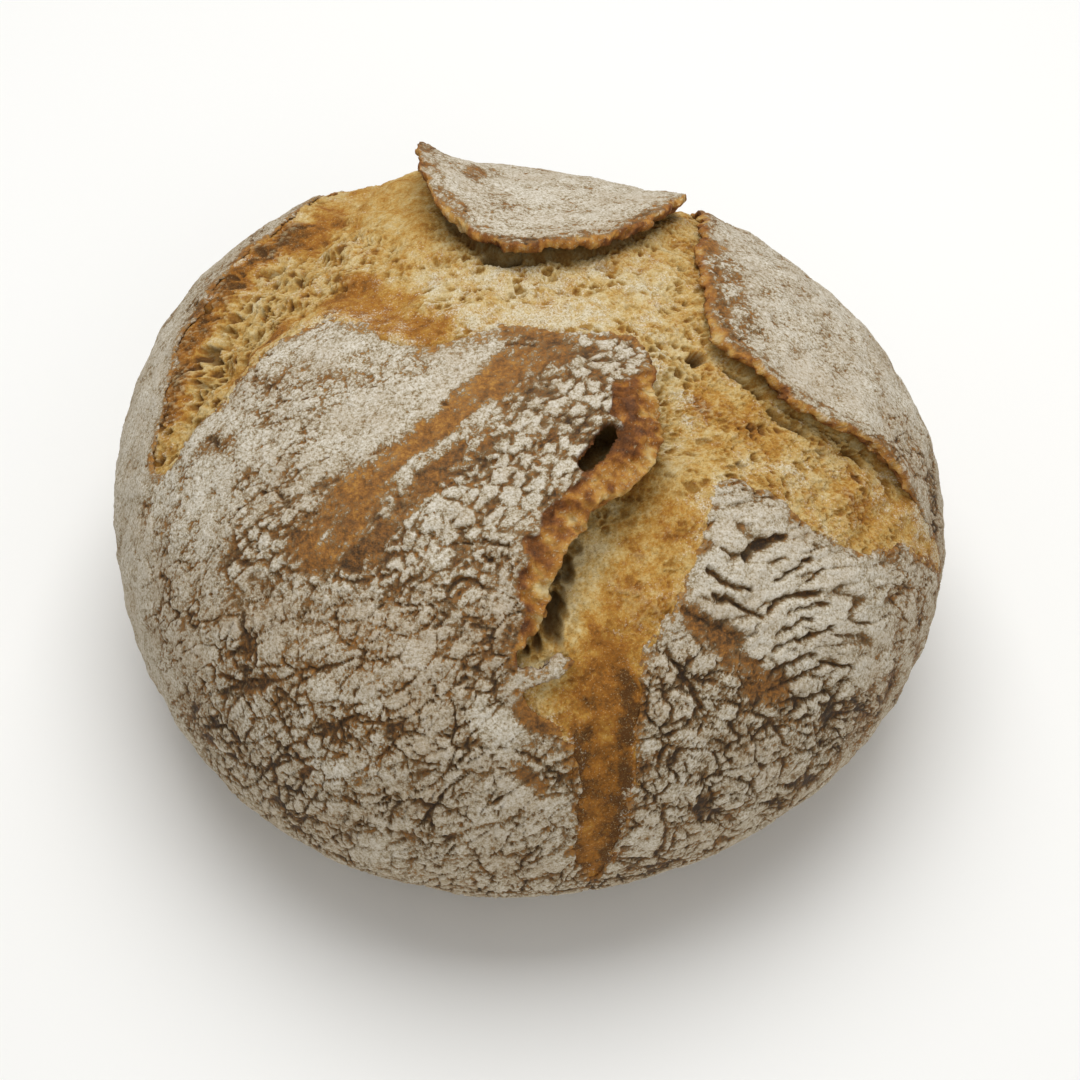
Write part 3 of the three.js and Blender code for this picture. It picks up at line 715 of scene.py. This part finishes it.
def crust_surface(u, v):
    """The crust as a sheet that folds over its own torn edge. Near the edge it slopes down over the
    rim. A place inside the opening, at distance a from the edge, goes down the torn face, which
    stands out by a half sine, and then back below the crust."""
    way = direction(u, v)
    at = way * resting_radius(way)
    f, away, values = near_edge(at, u, v)
    torn, face = values[TORN], values[FACE]
    ragged = 1.5 * ripple(at, 7, 41) + ripple(at, 2.8, 42) + 0.35 * ripple(at, 1, 46)
    s = f + ragged * smooth(12, 4, np.abs(f))
    a, out = np.maximum(-s, 0), np.maximum(s, 0)
    down = np.minimum(a / face, 1)
    back = np.maximum(a - face, 0)
    sideways = back - values[BELLY] * np.sin(np.pi * down ** 0.8)
    rim = np.maximum(values[RIM] * (1 + 0.55 * ripple(at, 6, 44) + 0.4 * ripple(at, 2.2, 45)), 0.02)
    slope = RIM_SLOPE * rim * np.clip(1 - out / rim, 0, 1) ** 0.8
    hole = tunnel_gap(u, v, at)
    sink = face * down + slope + 1.8 * smooth(1.2, -0.2, hole)

    edge_at = at + away * a
    edge_way = edge_at / np.linalg.norm(edge_at, axis=0)
    height, look = dressing(edge_at, *chart(edge_way))
    tear = np.maximum(smooth(0, 0.6, a), smooth(rim + 0.4, rim - 0.2, out) * smooth(0.1, 0.5, rim))
    tear = np.maximum.reduce([tear, smooth(0.9, 0.5, hole), look["torn"]])
    inner = at + away * np.where(a > 0, a + sideways, 0)
    crumbly = layered(inner - edge_way * 2 * sink, 2.4, 43, 3)
    foot = at - away * f
    strand = ripple(foot + away * 0.3 * f, 1.2, 78) + 0.7 * ripple(foot + away * 0.25 * f, 0.6, 79)
    inner = inner + away * 0.2 * crumbly * tear
    way = inner / np.linalg.norm(inner, axis=0)
    lift = ear_lift(values, np.maximum(np.where(a > 0, sideways, s), 0))
    radius = resting_radius(way) + lift - sink + CRUST_LUMPS[0] * lumps(inner, CRUST_LUMPS[1])
    radius = radius + height * (1 - tear) + (0.65 * crumbly + 0.16 * strand - 0.2) * tear
    point = way * radius
    point[2] = np.maximum(point[2] + HEART_HEIGHT, 0)

    beyond = out - rim
    fade = smooth(2.5 + 3 * smooth(0.08, 0, torn), 0, np.maximum(beyond, 0))
    thin = fade * (0.7 + 0.6 * ripple(at, 1.6, 49) + 0.5 * ripple(at, 4, 76))
    line = np.exp(-((beyond - 2.4 + 0.8 * ripple(at, 3, 50)) / 0.6) ** 2) * torn
    wide = smooth(1.6, 4, values[RIM])
    toasted = (0.8 - 0.2 * torn + wide * (0.55 * np.clip(out / 9, 0, 1) - 0.12) + 0.16 * strand
               + 0.32 * ripple(at, 3, 69) + 0.18 * ripple(at, 9, 99))
    # Painted shade: the torn face is darkened towards its foot, on the underside folded back below the
    # crust and down the tunnel, and the toast is made browner with it.
    deep = 0.55 * smooth(0.3, 1, down) + 0.6 * smooth(0, 1.5, back) + 0.5 * smooth(0.5, 0, hole)
    look["torn"] = np.clip(tear * np.maximum(smooth(0.1, 0.5, torn), look["torn"]), 0, 1)
    look["toasted"] = np.clip(toasted + 0.2 * crumbly + 0.2 * deep, 0, 1)
    look["deep"] = np.clip(deep, 0, 1)
    look["flour"] = np.clip(look["flour"] - 0.45 * thin - 0.4 * line, 0, 1)
    look["bake"] = look["bake"] * (1 - 0.55 * fade * (1 - torn))
    kept = (a < face + values[CAVE] + TUCK) & (hole > 0)
    return point, look, kept


def pockets(at, u, v):
    """Depth in mm and painted shade, 0 to 1, of the marked pores and pockets around their wavering lines.
    """
    u, v = strayed(at, u, v, 72, (0.7, 3.4), (0.3, 1.3))
    depth, dark = np.zeros(u.shape), np.zeros(u.shape)
    for half, inwards, pocket_shade, line in POCKETS:
        near = np.flatnonzero(np.hypot(u - line[0][0], v - line[0][1]) < LONGEST_POCKET)
        inside = smooth(half * 1.15, half * 0.4, from_line(u[near], v[near], line))
        depth[near] = np.maximum(depth[near], inside * inwards)
        dark[near] = np.maximum(dark[near], inside * pocket_shade)
    return depth, dark


def crumb_surface(u, v):
    """The torn crumb: the resting form sunk by the edge's depth and the trough's hollow, roughened
    by pores, pits and threads, and risen under the crust to meet its underside behind each cave."""
    way = direction(u, v)
    at = way * resting_radius(way)
    f, _, values = near_edge(at, u, v)
    inside, under = np.maximum(-f, 0), np.maximum(f, 0)
    amount = painted(*strayed(at, u, v, 51, (1.6, 11), (1.3, 3.6)), CRUMB_GROUND, CRUMB_ZONES, 0.75)
    pores, fibres = amount["pores"], amount["fibres"]
    rough = 0.4 + 0.6 * pores

    calm = smooth(-1.5, 5, inside)
    hollowed = values[TROUGH] * np.minimum(1, inside / TROUGH_WIDTH)
    sunk = values[DEPTH] + RIM_SLOPE * values[RIM] + hollowed
    soft = CRUMB_LUMPS[0] * lumps(at, CRUMB_LUMPS[1]) * np.clip(0.35 + inside / TROUGH_WIDTH, 0, 1)
    sunk = sunk - soft * smooth(4, 0, under)
    cloud = layered(at, 9, 55, 2)
    sunk = sunk - cloud * 1.2 * calm * rough

    drawn = np.where(u < -29, drawn_out(at, (-58, 2), (-36, 36), 1.2), at)
    border, _, kind = cells(swirled(drawn, 2.4, 56, 0.6), PORE_SIZE, 59)
    finer, _, _ = cells(swirled(drawn, 1.4, 60, 0.5), PIT_SIZE, 63)
    open_here = smooth(-0.4, 0.4, ripple(at, 7, 68) + 0.6 * (pores - 0.7))
    hollow = smooth(0.05, 0.4, border) * smooth(0.3, 0.7, kind) * open_here * np.minimum(pores, 1.2)
    pits = smooth(0.03, 0.3, finer) * np.minimum(pores, 1)
    thread = ripple(drawn_out(swirled(at, 6, 67, 1.6), *FRONT_FIBRES, 2.6), 0.8, 61)
    bent = drawn_out(swirled(at, 4, 94, 1.8), *FRONT_FIBRES, 2.4)
    hair = smooth(0.15, 0.02, np.abs(ripple(bent, 1.7, 97))) * smooth(-0.3, 0.3, ripple(at, 4, 98)) * fibres
    fuzz = ripple(at, 1.1, 62) + 0.8 * ripple(at, 0.62, 71)
    sunk = sunk + 0.8 * hollow + 0.45 * pits - 0.24 * fuzz * rough - 0.2 * thread * fibres - 0.25 * hair

    depth, dark = pockets(at, u, v)
    hole = tunnel_gap(u, v, at)
    shaft = smooth(2.6, 0.4, hole)
    meet = smooth(values[CAVE] * 0.45, values[CAVE] + 1.5, under)
    underside = (values[FACE] * 0.7 + RIM_SLOPE * values[RIM] * smooth(8, 2, under)
                 - ear_lift(values, under) + 1.6 * smooth(1.5, 5, under))
    sunk = sunk + (underside - sunk) * meet + depth + 7 * shaft
    point = way * (resting_radius(way) - sunk)
    point[2] += HEART_HEIGHT

    # Painted highlight: the raised parts of the crumb's relief, its fuzz, threads and hairs, are made
    # paler, and its pores and pits are not.
    painted_highlight = smooth(-1, 1, fuzz - 1.2 * hollow - 0.6 * pits + 0.3 * thread * fibres + 0.4 * cloud
                  + 1.2 * hair)
    painted_highlight = painted_highlight * np.clip(0.2 + 0.8 * pores, 0, 1)
    # Painted shade: the crumb is darkened in its pores and pits, in the marked pockets, under the crust's
    # caves and down the tunnel; the same shade makes the toast browner and takes away dust.
    cave = smooth(0.3, 3, under) * smooth(0.8, 2.5, values[CAVE])
    deep = np.clip(np.maximum.reduce([dark, 0.65 * hollow + 0.1 * pits, 0.8 * cave, 0.9 * shaft]), 0, 1)
    toast = (amount["toast"] + 0.2 * ripple(at, 5, 64) + 0.12 * cloud + 0.15 * deep
             + 0.25 * hollow + 0.15 * pits)
    dusted = (amount["dust"] + 0.15 * smooth(4, 0, inside) * (1 - values[TORN])
              + 0.25 * ripple(at, 3, 65) + 0.2 * ripple(at, 9, 70) - 0.35 * hollow - 0.5 * deep)
    look = {"toast": np.clip(toast, 0, 1.2), "dust": np.clip(dusted, 0, 1.2), "deep": deep, "painted_highlight": painted_highlight}
    return point, look, f < CRUMB_MARGIN + 10 * smooth(7, 3, hole)


def sheet_pieces(name, count, reach, surface, finish, wanted=None):
    """Works a sheet out over a square grid, drops the cells that fall away or are pulled apart,
    and cuts the rest along grid rows into pieces that a file can hold."""
    u, v = sheet_places(count, reach)
    corner = (np.arange(count - 1)[:, None] * count + np.arange(count - 1)).ravel()
    quads = np.stack([corner, corner + 1, corner + count + 1, corner + count], 1)
    if wanted is not None:
        quads = quads[wanted(u[quads[:, 0]], v[quads[:, 0]])]
    used, quads = np.unique(quads, return_inverse=True)
    quads = quads.reshape(-1, 4)
    point, look, kept = surface(u[used], v[used])
    quads = quads[kept[quads].all(1)]
    sides = np.linalg.norm(point[:, quads] - point[:, np.roll(quads, 1, 1)], axis=0).max(1)
    across = np.hypot(u[used], v[used])[quads[:, 0]]
    quads = quads[(sides < WIDEST_CELL) | (across > SOLE_ANGLE)]
    spots = np.stack([used % count, used // count]) / (count - 1)
    row = used[quads[:, 0]] // count
    quads = quads[np.argsort(row, kind="stable")]
    parts = int(np.ceil(len(quads) / PIECE_FACES))
    return [
        laid(f"{name}_{number + 1}", point, faces, look, spots, finish)
        for number, faces in enumerate(np.array_split(quads, parts))]


def laid(name, point, faces, look, spots, finish):
    """A mesh from points in mm and four-sided faces, with the amounts as attributes and a map of
    its own grid, stretched to fill the square."""
    used, faces = np.unique(faces, return_inverse=True)
    faces = faces.reshape(-1, 4)
    mesh = bpy.data.meshes.new(name)
    mesh.vertices.add(len(used))
    mesh.vertices.foreach_set("co", (point[:, used].T * MM).astype(np.float32).ravel())
    mesh.loops.add(faces.size)
    mesh.loops.foreach_set("vertex_index", faces.astype(np.int32).ravel())
    mesh.polygons.add(len(faces))
    mesh.polygons.foreach_set("loop_start", np.arange(0, faces.size, 4, dtype=np.int32))
    mesh.polygons.foreach_set("use_smooth", np.ones(len(faces), bool))
    mesh.update(calc_edges=True)
    for kind, amounts in look.items():
        layer = mesh.attributes.new(kind, "FLOAT", "POINT")
        layer.data.foreach_set("value", amounts[used].astype(np.float32))
    spot = spots[:, used]
    spot = (spot - spot.min(1)[:, None]) / (np.ptp(spot, axis=1)[:, None])
    layer = mesh.uv_layers.new(name="OFBake")
    layer.uv.foreach_set("vector", spot[:, faces.ravel()].T.astype(np.float32).ravel())
    mesh.materials.append(finish)
    piece = bpy.data.objects.new(name, mesh)
    bpy.context.scene.collection.objects.link(piece)
    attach(piece, "root")
    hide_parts("loaf")
    return piece


# ------------------------------------------------------------------ finishes

SPECKS = (1300, 4, 0.7)             # ripples to a metre, detail, roughness: clumps of flour, 0.8 mm
PEPPER = (2300, 2, 0.6)             # single crumbs of bran and flour, 0.4 mm
EASED = dict(interpolation_type="SMOOTHSTEP")    # inputs: a value, its low and high, the new ones


def colour(code):
    """A hex sRGB colour as the linear colour that the shader takes."""
    parts = np.array([int(code[n:n + 2], 16) for n in (1, 3, 5)]) / 255
    linear = np.where(parts <= 0.04045, parts / 12.92, ((parts + 0.055) / 1.055) ** 2.4)
    return (*linear, 1)


def add(tree, kind, inputs=(), take=0, stops=(), **settings):
    """Adds a node, sets its settings, its colour stops and its inputs, which go by order, number or
    name and are linked where they are another node's output, and hands back one output, if any."""
    node = tree.nodes.new("ShaderNode" + kind)
    for name, value in settings.items():
        setattr(node, name, value)
    if stops:
        blend = node.color_ramp.elements
        while len(blend) < len(stops):
            blend.new(0.5)
        for element, (position, code) in zip(blend, stops):
            element.position = position
            element.color = colour(code)
    for socket, value in inputs.items() if isinstance(inputs, dict) else enumerate(inputs):
        if isinstance(value, bpy.types.NodeSocket):
            tree.links.new(value, node.inputs[socket])
        else:
            node.inputs[socket].default_value = value
    return node.outputs[take] if node.outputs else None


def summed(tree, total, *parts):
    """The total with each amount added in turn, times its weight."""
    for amount, weight in parts:
        total = add(tree, "Math", (amount, weight, total), operation="MULTIPLY_ADD")
    return total


def overlaid(tree, skin, *layers):
    """The skin's colour with each layer, a cover from 0 to 1 and a colour, laid over it in turn."""
    for cover, above in layers:
        above = colour(above) if isinstance(above, str) else above
        skin = add(tree, "Mix", {"Factor": cover, 6: skin, 7: above}, take=2, data_type="RGBA")
    return skin


def new_finish(name, attributes=(), speckles=()):
    """An empty material, the named amounts of the mesh, and fractal noises about 0.5, each given as
    (ripples to a metre, detail, roughness)."""
    finish = bpy.data.materials.new(name)
    finish.use_nodes = True
    tree = finish.node_tree
    tree.nodes.clear()
    place = add(tree, "TexCoord", take="Object")
    amounts = [add(tree, "Attribute", take="Fac", attribute_name=each) for each in attributes]
    noises = [
        add(tree, "TexNoise", {"Vector": place, "Scale": ripples, "Detail": detail, "Roughness": rough})
        for ripples, detail, rough in speckles]
    return finish, tree, amounts, noises


def floured_crust():
    """Baked wheat crust under a dry dusting of flour: golden to brown and faintly glossy where
    bare, chalky pale grey where floured, with the flour breaking up into specks at its borders."""
    finish, tree, amounts, (specks, pepper, mottle, broad) = new_finish(
        "floured_baked_crust", ("flour", "bake", "grey", "flecks", "torn", "toasted", "deep"),
        (SPECKS, PEPPER, (500, 3, 0.6), (90, 2, 0.5)))
    flour, bake, grey, flecks, torn, toasted, deep = amounts

    loose = summed(tree, 0.6, (flecks, 1))
    strewn = summed(tree, flour, (summed(tree, -0.5, (specks, 1)), loose))
    cover = add(tree, "MapRange", (strewn, 0.34, 0.66), **EASED)
    browned = summed(tree, -0.39, (bake, 0.5), (specks, 1), (mottle, 0.5), (flour, -0.12))
    bare = add(tree, "ValToRGB", (browned,), stops=[
        (0.32, "#B07E38"), (0.47, "#946228"), (0.6, "#7A5124"), (0.74, "#553A1B"), (0.9, "#332413")])
    film = add(tree, "MapRange", (strewn, 0.1, 0.45, 0, 0.3), **EASED)
    tone = summed(tree, -0.2, (strewn, 0.3), (pepper, 0.45), (specks, 0.45))
    chalk = add(tree, "ValToRGB", (tone,), stops=[
        (0.3, "#76603F"), (0.4, "#98886A"), (0.49, "#BDB19B"), (0.6, "#D4CCBC"), (0.78, "#ECE7DC")])
    worn = add(tree, "MapRange", (broad, 0.45, 0.7), **EASED)
    dull = summed(tree, 0, (worn, 0.25), (grey, 0.45))
    browned = summed(tree, -0.3, (toasted, 0.75), (specks, 0.45), (mottle, 0.45))
    rind = add(tree, "ValToRGB", (browned,), stops=[
        (0.2, "#CDB47C"), (0.38, "#BF944B"), (0.56, "#AC752F"), (0.76, "#845021"), (0.95, "#553216")])
    crumbs = summed(tree, specks, (toasted, -0.2))
    crumbs = add(tree, "MapRange", (crumbs, 0.42, 0.56, 0, 0.6), **EASED)
    # Painted shade: the torn rind is laid over with dark brown where it lies under the crust's overhang or
    # in the tunnel.
    shade = summed(tree, 0, (deep, 0.6))

    thin = overlaid(tree, bare, (film, "#A08354"))
    chalk = overlaid(tree, chalk, (dull, "#B09C80"))
    rind = overlaid(tree, rind, (crumbs, "#CDBB92"), (shade, "#4A3018"))
    skin = overlaid(tree, thin, (cover, chalk), (torn, rind))
    dry = add(tree, "MapRange", (cover, 0, 1, 0.66, 0.95), **EASED)
    raised = summed(tree, pepper, (specks, 1), (cover, 0.4))
    relief = add(tree, "Bump", {"Strength": 0.7, "Distance": 0.4 * MM, "Height": raised})
    shader = add(tree, "BsdfPrincipled",
                 {"Base Color": skin, "Roughness": dry, "Normal": relief, "Specular IOR Level": 0.3})
    add(tree, "OutputMaterial", (shader,))
    return finish


def torn_crumb():
    """Torn wheat crumb toasted by the oven: cream where it lay within the loaf, golden to orange brown
    where it dried, matt and fuzzy, with a painted highlight on its raised threads, painted shade in
    its hollows and a little flour blown over it."""
    finish, tree, (toast, dust, deep, painted_highlight), (specks, pepper, mottle) = new_finish(
        "toasted_torn_crumb", ("toast", "dust", "deep", "painted_highlight"), (SPECKS, PEPPER, (420, 3, 0.65)))
    browned = summed(tree, -0.17, (toast, 0.55), (specks, 0.45), (mottle, 0.5))
    skin = add(tree, "ValToRGB", (browned,), stops=[
        (0.34, "#CFBB8C"), (0.48, "#C3A261"), (0.61, "#B28338"), (0.76, "#986121"), (0.95, "#583716")])
    tone = summed(tree, 0, (pepper, 0.5), (specks, 0.5))
    flour = add(tree, "ValToRGB", (tone,), stops=[(0.35, "#A9976F"), (0.5, "#CFC4A8"), (0.65, "#E6DFCC")])
    strewn = summed(tree, dust, (pepper, 0.9), (specks, 1.1))
    painted_highlight_cover, floured, dark_grains, pale_grains = (
        add(tree, "MapRange", inputs, **EASED) for inputs in (
            (painted_highlight, 0.35, 1, 0, 0.4), (strewn, 1.3, 1.8, 0, 0.85),
            (pepper, 0.46, 0.28, 0, 0.6), (pepper, 0.56, 0.75, 0, 0.35)))
    shade = summed(tree, 0, (deep, 0.85))
    skin = overlaid(tree, skin, (painted_highlight_cover, "#D9CA9E"), (floured, flour), (dark_grains, "#85693A"),
                    (pale_grains, "#DCC996"), (shade, "#3C2C18"))
    relief = add(tree, "Bump", {"Strength": 0.7, "Distance": 0.45 * MM, "Height": specks})
    shader = add(tree, "BsdfPrincipled",
                 {"Base Color": skin, "Roughness": 0.9, "Normal": relief, "Specular IOR Level": 0.2})
    add(tree, "OutputMaterial", (shader,))
    return finish


def pale_floor():
    """A painted studio floor: matt warm white with a barely visible cloudiness."""
    finish, tree, _, (cloud,) = new_finish("matt_white_floor_paint", speckles=((3, 2, 0.5),))
    tone = overlaid(tree, colour("#F2F1EE"), (cloud, "#F6F6F4"))
    shader = add(tree, "BsdfPrincipled", {"Base Color": tone, "Roughness": 0.9})
    add(tree, "OutputMaterial", (shader,))
    return finish


# ------------------------------------------------------------------ the loaf put together


def over_opening(u, v):
    """True for grid cells near enough to the opening to carry crumb."""
    near = np.zeros(u.shape, bool)
    edge_u, edge_v = EDGE_PLACES[::4].T
    for part in blocks(len(u)):
        gap = (u[part, None] - edge_u) ** 2 + (v[part, None] - edge_v) ** 2
        near[part] = gap.min(1) < CRUMB_LAP ** 2
    return near | inside_opening(u, v)


def settle(pieces, crust):
    """Moves all pieces alike, so that the crust's box is centred where the solid's box is."""
    low, high = np.array(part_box("loaf")[0]), np.array(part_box("loaf")[1])
    corners = []
    for piece in crust:
        co = np.empty(len(piece.data.vertices) * 3, np.float32)
        piece.data.vertices.foreach_get("co", co)
        corners += [co.reshape(-1, 3).min(0), co.reshape(-1, 3).max(0)]
    shift = (low + high) / 2 - (np.min(corners, 0) + np.max(corners, 0)) / 2
    for piece in pieces:
        piece.data.transform(Matrix.Translation((shift[0], shift[1], 0)))


def studio():
    """A pale floor, a wide soft light overhead with a weaker one from the front, and the camera."""
    side = FLOOR_REACH
    corners = [(-side, -side, 0), (side, -side, 0), (side, side, 0), (-side, side, 0)]
    floor = bpy.data.meshes.new("floor")
    floor.from_pydata(corners, [], [(0, 1, 2, 3)])
    floor.materials.append(pale_floor())
    ground = bpy.data.objects.new("floor", floor)
    bpy.context.scene.collection.objects.link(ground)

    world = bpy.data.worlds.new("studio")
    bpy.context.scene.world = world
    world.use_nodes = True
    background = world.node_tree.nodes["Background"]
    background.inputs["Color"].default_value = colour("#FBFBFA")
    background.inputs["Strength"].default_value = 0.42
    aim = Vector((0, 0, 0.05))
    for name, place, power in (
            ("overhead", (0.0, 0.25, 0.95), 7.6), ("front_fill", (0.35, -0.9, 0.6), 2.2)):
        light = bpy.data.lights.new(name, "AREA")
        light.size = LIGHT_SIZE
        light.energy = power
        lamp = bpy.data.objects.new(name, light)
        lamp.location = place
        lamp.rotation_euler = (aim - Vector(place)).to_track_quat("-Z", "Y").to_euler()
        bpy.context.scene.collection.objects.link(lamp)

    elevation = np.radians(EYE_ELEVATION)
    target = Vector([each * MM for each in EYE_TARGET])
    back = Vector((0, -np.cos(elevation), np.sin(elevation)))
    camera = bpy.data.cameras.new("camera")
    camera.lens = EYE_LENS
    camera.sensor_width = 36
    camera.dof.use_dof = False
    eye = bpy.data.objects.new("camera", camera)
    eye.location = target + back * EYE_DISTANCE * MM
    eye.rotation_euler = (-back).to_track_quat("-Z", "Y").to_euler()
    bpy.context.scene.collection.objects.link(eye)
    bpy.context.scene.camera = eye
    bpy.context.scene.view_settings.view_transform = "Standard"


crust = sheet_pieces("crust", CRUST_COUNT, CRUST_REACH, crust_surface, floured_crust())
crumb = sheet_pieces("crumb", CRUMB_COUNT, CRUMB_REACH, crumb_surface, torn_crumb(), over_opening)
settle(crust + crumb, crust)
studio()
